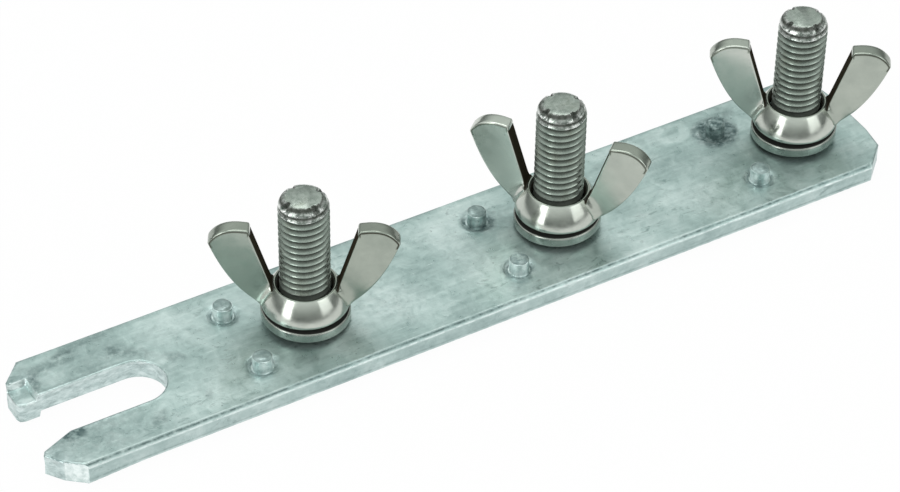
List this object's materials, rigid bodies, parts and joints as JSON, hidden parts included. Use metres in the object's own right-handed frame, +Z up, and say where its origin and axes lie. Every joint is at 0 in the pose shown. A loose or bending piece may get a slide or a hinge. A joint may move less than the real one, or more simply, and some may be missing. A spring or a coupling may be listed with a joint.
{
  "type": "earth terminal bar",
  "caption": "Flat galvanised steel bar with a forked end and upright threaded studs, each with a spring washer and a captive wing nut, for clamping earth conductors.",
  "frame": {"origin": "middle of the bar's length and width, in the plane of its underside", "axes": "+X along the bar from the fork to the plain end, +Y across the bar toward the prong with the pressed lug, +Z up along the studs"},
  "size_m": [0.2217, 0.038, 0.0419],
  "materials": {
    "galvanised_bar": "hot-dip galvanised, matt with light spangle and scratches",
    "stud_steel": "satin rolled thread, greyish",
    "washer_steel": "satin",
    "nut_steel": "polished, slightly warm"
  },
  "bodies": {
    "bar": {"bar": "galvanised_bar", "stud_1": "stud_steel", "stud_2": "stud_steel", "stud_3": "stud_steel"},
    "washer_1": {"spring_washer_1": "washer_steel"},
    "washer_2": {"spring_washer_2": "washer_steel"},
    "washer_3": {"spring_washer_3": "washer_steel"},
    "nut_1": {"wing_nut_1": "nut_steel"},
    "nut_2": {"wing_nut_2": "nut_steel"},
    "nut_3": {"wing_nut_3": "nut_steel"}
  },
  "joints": [
    {"name": "nut_1_rise", "type": "slide", "parent": "bar", "child": "washer_1", "axis": [0, 0, 1], "range_m": [0, 0.0211]},
    {"name": "nut_1_turn", "type": "hinge", "parent": "washer_1", "child": "nut_1", "pos_m": [-0.0396, 0, 0.00964], "axis": [0, 0, 1], "range_deg": [0, 4320]},
    {"name": "nut_2_rise", "type": "slide", "parent": "bar", "child": "washer_2", "axis": [0, 0, 1], "range_m": [0, 0.0211]},
    {"name": "nut_2_turn", "type": "hinge", "parent": "washer_2", "child": "nut_2", "pos_m": [0.0268, 0, 0.00964], "axis": [0, 0, 1], "range_deg": [0, 4320]},
    {"name": "nut_3_rise", "type": "slide", "parent": "bar", "child": "washer_3", "axis": [0, 0, 1], "range_m": [0, 0.0211]},
    {"name": "nut_3_turn", "type": "hinge", "parent": "washer_3", "child": "nut_3", "pos_m": [0.0932, 0, 0.00964], "axis": [0, 0, 1], "range_deg": [0, 4320]}
  ],
  "couplings": [
    {"joint": "nut_1_rise", "follows": "nut_1_turn", "m_per_rad": 0.00027852},
    {"joint": "nut_2_rise", "follows": "nut_2_turn", "m_per_rad": 0.00027852},
    {"joint": "nut_3_rise", "follows": "nut_3_turn", "m_per_rad": 0.00027852}
  ]
}
